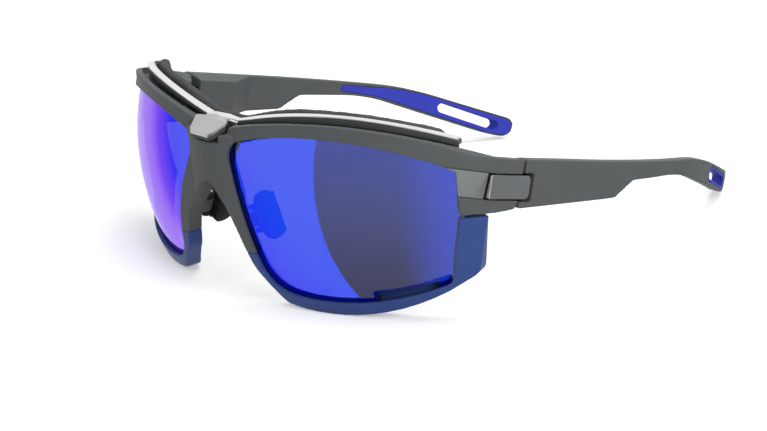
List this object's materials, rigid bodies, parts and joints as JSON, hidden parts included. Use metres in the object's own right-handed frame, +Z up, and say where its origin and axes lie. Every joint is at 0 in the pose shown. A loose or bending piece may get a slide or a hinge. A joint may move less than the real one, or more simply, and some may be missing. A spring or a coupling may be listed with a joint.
{
  "type": "wrap sport glasses",
  "caption": "Wrap sport glasses with mirrored spherical lenses, folding and tilting temples with strap slots, turning nose pads and a clip-on padded brow bar.",
  "frame": {"origin": "middle of the box round the open glasses, on the table that the lower rims and tips rest on", "axes": "+X to the wearer's left, the lenses face -Y, the temples run back along +Y, +Z up"},
  "size_m": [0.1404, 0.1541, 0.0529],
  "materials": {
    "frame_grey": "matte graphite-grey moulded nylon",
    "carrier_black": "matte black moulded nylon",
    "rim_blue": "matte steel-blue moulded nylon",
    "mirror_lens": "blue mirror coating on a tinted spherical lens",
    "satin_metal": "satin gunmetal",
    "polished_metal": "polished chrome",
    "pin_steel": "turned steel",
    "grip_rubber": "vivid blue soft rubber",
    "pad_plastic": "black moulded nylon",
    "pad_rubber": "black soft rubber",
    "silver_trim": "satin silver",
    "brow_foam": "dark grey fine-celled foam with a soft skin"
  },
  "bodies": {
    "front": {"front_frame": "frame_grey", "lens_left": "mirror_lens", "lens_right": "mirror_lens", "lower_rim_left": "rim_blue", "lower_rim_right": "rim_blue", "hinge_plate_left": "satin_metal", "hinge_plate_right": "satin_metal", "fold_pin_left": "pin_steel", "fold_pin_right": "pin_steel", "nose_pin_left": "pin_steel", "nose_pin_right": "pin_steel"},
    "link_left": {"hinge_link_left": "polished_metal", "tilt_pin_left": "pin_steel"},
    "arm_left": {"temple_left": "frame_grey", "temple_grip_left": "grip_rubber"},
    "nose_left": {"nose_pad_arm_left": "pad_plastic", "nose_pad_left": "pad_rubber"},
    "link_right": {"hinge_link_right": "polished_metal", "tilt_pin_right": "pin_steel"},
    "arm_right": {"temple_right": "frame_grey", "temple_grip_right": "grip_rubber"},
    "nose_right": {"nose_pad_arm_right": "pad_plastic", "nose_pad_right": "pad_rubber"},
    "sweat_bar": {"sweat_bar_carrier": "carrier_black", "sweat_bar_trim": "silver_trim", "sweat_bar_foam": "brow_foam"}
  },
  "joints": [
    {"name": "fold_left", "type": "hinge", "parent": "front", "child": "link_left", "pos_m": [0.065, -0.03713, 0.03455], "axis": [0, 0.2487, 0.9686], "range_deg": [0, 80]},
    {"name": "tilt_left", "type": "hinge", "parent": "link_left", "child": "arm_left", "pos_m": [0.065, -0.02308, 0.03094], "axis": [1, 0, 0], "range_deg": [-4, 4]},
    {"name": "nose_pad_turn_left", "type": "hinge", "parent": "front", "child": "nose_left", "pos_m": [0.0106, -0.06797, 0.022], "axis": [-0.4195, 0, 0.9078], "range_deg": [-6, 6]},
    {"name": "fold_right", "type": "hinge", "parent": "front", "child": "link_right", "pos_m": [-0.065, -0.03713, 0.03455], "axis": [0, -0.2487, -0.9686], "range_deg": [0, 62]},
    {"name": "tilt_right", "type": "hinge", "parent": "link_right", "child": "arm_right", "pos_m": [-0.065, -0.02308, 0.03094], "axis": [1, 0, 0], "range_deg": [-4, 4]},
    {"name": "nose_pad_turn_right", "type": "hinge", "parent": "front", "child": "nose_right", "pos_m": [-0.0106, -0.06797, 0.022], "axis": [-0.4195, 0, -0.9078], "range_deg": [-6, 6]},
    {"name": "sweat_bar_lift", "type": "slide", "parent": "front", "child": "sweat_bar", "axis": [0, 0, 1], "range_m": [0, 0.016]}
  ]
}
